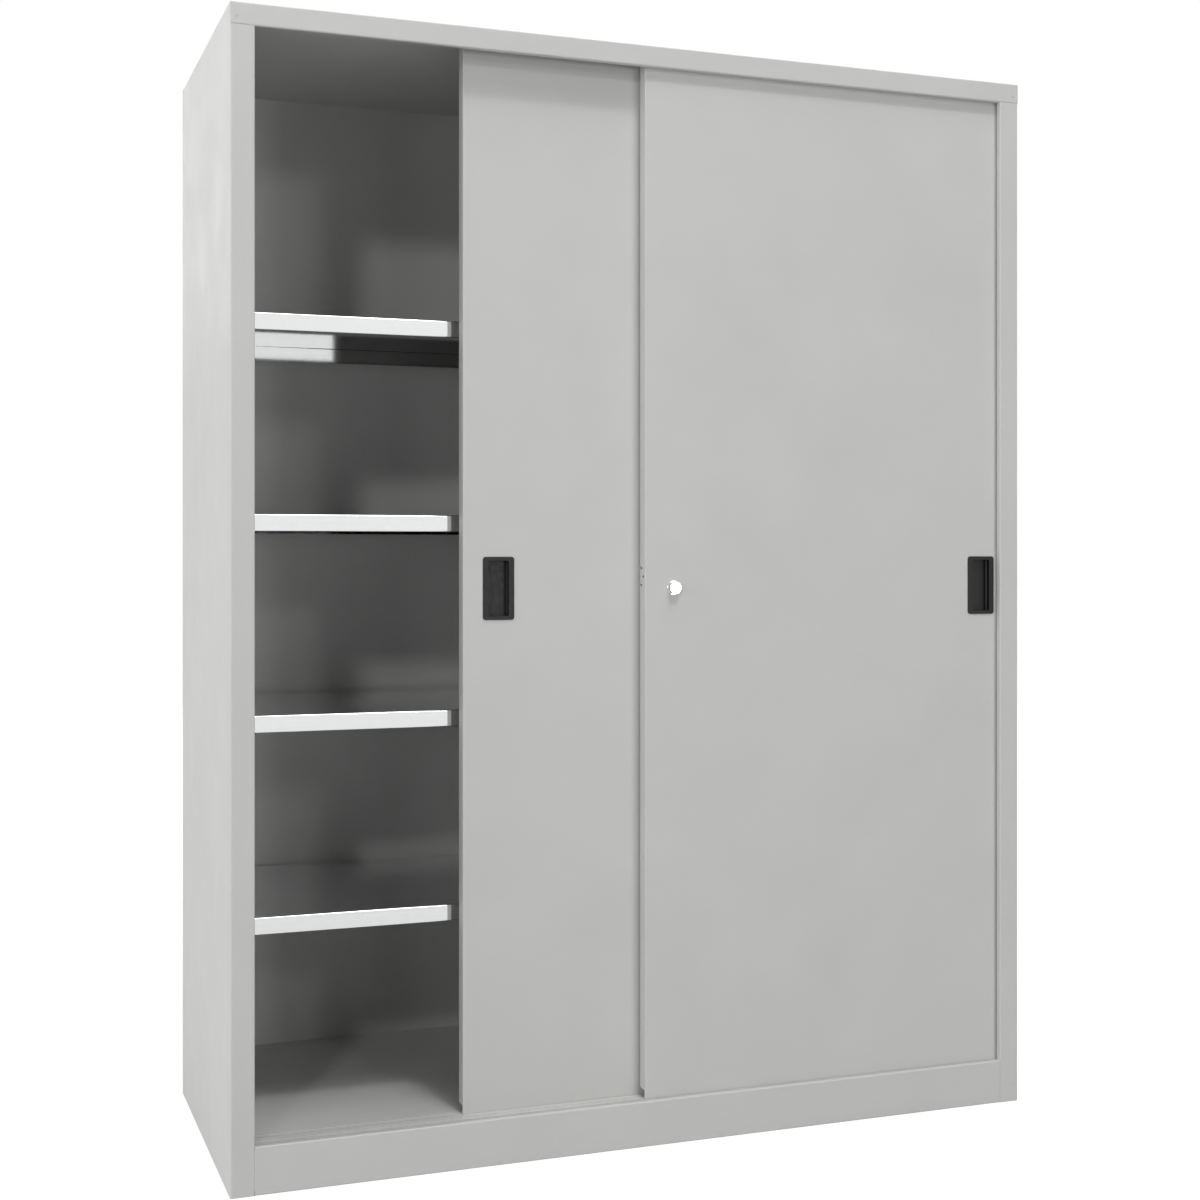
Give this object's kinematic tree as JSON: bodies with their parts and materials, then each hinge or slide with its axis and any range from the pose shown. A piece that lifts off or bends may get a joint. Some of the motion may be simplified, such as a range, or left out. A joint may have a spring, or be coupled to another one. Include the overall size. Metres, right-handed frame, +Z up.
{
  "type": "sliding door cabinet",
  "caption": "Free-standing sheet-steel cupboard with by-passing sliding doors on rollers, recessed pull handles, a push lock and adjustable shelves.",
  "frame": {"origin": "middle of the base, on the floor plane", "axes": "+Z up, the doors face -Y, +X to the right seen from the front"},
  "size_m": [1.5, 0.6, 1.95],
  "materials": {
    "grey_paint": "light grey powder coat, satin",
    "galvanised_steel": "bright galvanised sheet, glossy",
    "zinc_steel": "zinc plated steel",
    "aluminium": "extruded, mill finish",
    "black_plastic": "moulded, fine grain",
    "white_nylon": "moulded nylon",
    "chrome": "polished chrome plate",
    "spring_steel": "drawn wire",
    "black_rubber": "moulded rubber"
  },
  "bodies": {
    "carcass": {"side_left": "grey_paint", "side_right": "grey_paint", "top_panel": "grey_paint", "back_panel": "grey_paint", "bottom_panel": "grey_paint", "plinth_front": "grey_paint", "plinth_rear": "grey_paint", "track_bottom": "grey_paint", "upright_front_left": "grey_paint", "upright_front_right": "grey_paint", "upright_rear_left": "grey_paint", "upright_rear_right": "grey_paint", "corner_rivets": "grey_paint", "shelf_1": "galvanised_steel", "shelf_2": "galvanised_steel", "shelf_3": "galvanised_steel", "shelf_4": "galvanised_steel", "shelf_clips_1": "zinc_steel", "shelf_clips_2": "zinc_steel", "shelf_clips_3": "zinc_steel", "shelf_clips_4": "zinc_steel", "track_top": "aluminium", "buffer_front_left": "black_rubber", "buffer_front_right": "black_rubber", "buffer_rear_left": "black_rubber", "buffer_rear_right": "black_rubber"},
    "front_door": {"door_front": "grey_paint", "door_front_rib": "grey_paint", "handle_front": "black_plastic", "lock_housing": "chrome", "lock_nut": "zinc_steel", "lock_spring": "spring_steel", "roller_bracket_front_left": "zinc_steel", "axle_front_left": "zinc_steel", "top_guide_front_left": "white_nylon", "roller_bracket_front_right": "zinc_steel", "axle_front_right": "zinc_steel", "top_guide_front_right": "white_nylon"},
    "rear_door": {"door_rear": "grey_paint", "door_rear_rib": "grey_paint", "handle_rear": "black_plastic", "strike_plate": "zinc_steel", "strike_rivets": "zinc_steel", "roller_bracket_rear_left": "zinc_steel", "axle_rear_left": "zinc_steel", "top_guide_rear_left": "white_nylon", "roller_bracket_rear_right": "zinc_steel", "axle_rear_right": "zinc_steel", "top_guide_rear_right": "white_nylon"},
    "lock_barrel": {"lock_barrel": "chrome"},
    "lock_plug": {"lock_plug": "chrome"},
    "roller_front_left": {"roller_front_left": "white_nylon"},
    "roller_front_right": {"roller_front_right": "white_nylon"},
    "roller_rear_left": {"roller_rear_left": "white_nylon"},
    "roller_rear_right": {"roller_rear_right": "white_nylon"}
  },
  "joints": [
    {"name": "rear_door_slide", "type": "slide", "parent": "carcass", "child": "rear_door", "axis": [1, 0, 0], "range_m": [-0.397, 0.316]},
    {"name": "front_door_slide", "type": "slide", "parent": "carcass", "child": "front_door", "axis": [1, 0, 0], "range_m": [-0.725, 0]},
    {"name": "lock_push", "type": "slide", "parent": "front_door", "child": "lock_barrel", "axis": [0, 1, 0], "range_m": [0, 0.01], "stiffness_N_per_m": 400, "springref_m": -0.01, "deforming": ["lock_spring"]},
    {"name": "key_turn", "type": "hinge", "parent": "lock_barrel", "child": "lock_plug", "pos_m": [0.039, -0.296, 0.989], "axis": [0, 1, 0], "range_deg": [0, 90]},
    {"name": "roller_front_left_spin", "type": "hinge", "parent": "front_door", "child": "roller_front_left", "pos_m": [0.044, -0.2725, 0.0922], "axis": [0, 1, 0], "continuous": true},
    {"name": "roller_front_right_spin", "type": "hinge", "parent": "front_door", "child": "roller_front_right", "pos_m": [0.681, -0.2725, 0.0922], "axis": [0, 1, 0], "continuous": true},
    {"name": "roller_rear_left_spin", "type": "hinge", "parent": "rear_door", "child": "roller_rear_left", "pos_m": [-0.284, -0.2425, 0.0922], "axis": [0, 1, 0], "continuous": true},
    {"name": "roller_rear_right_spin", "type": "hinge", "parent": "rear_door", "child": "roller_rear_right", "pos_m": [0.353, -0.2425, 0.0922], "axis": [0, 1, 0], "continuous": true}
  ],
  "couplings": [
    {"joint": "roller_front_left_spin", "follows": "front_door_slide", "rad_per_m": 83.333},
    {"joint": "roller_front_right_spin", "follows": "front_door_slide", "rad_per_m": 83.333},
    {"joint": "roller_rear_left_spin", "follows": "rear_door_slide", "rad_per_m": 83.333},
    {"joint": "roller_rear_right_spin", "follows": "rear_door_slide", "rad_per_m": 83.333}
  ]
}
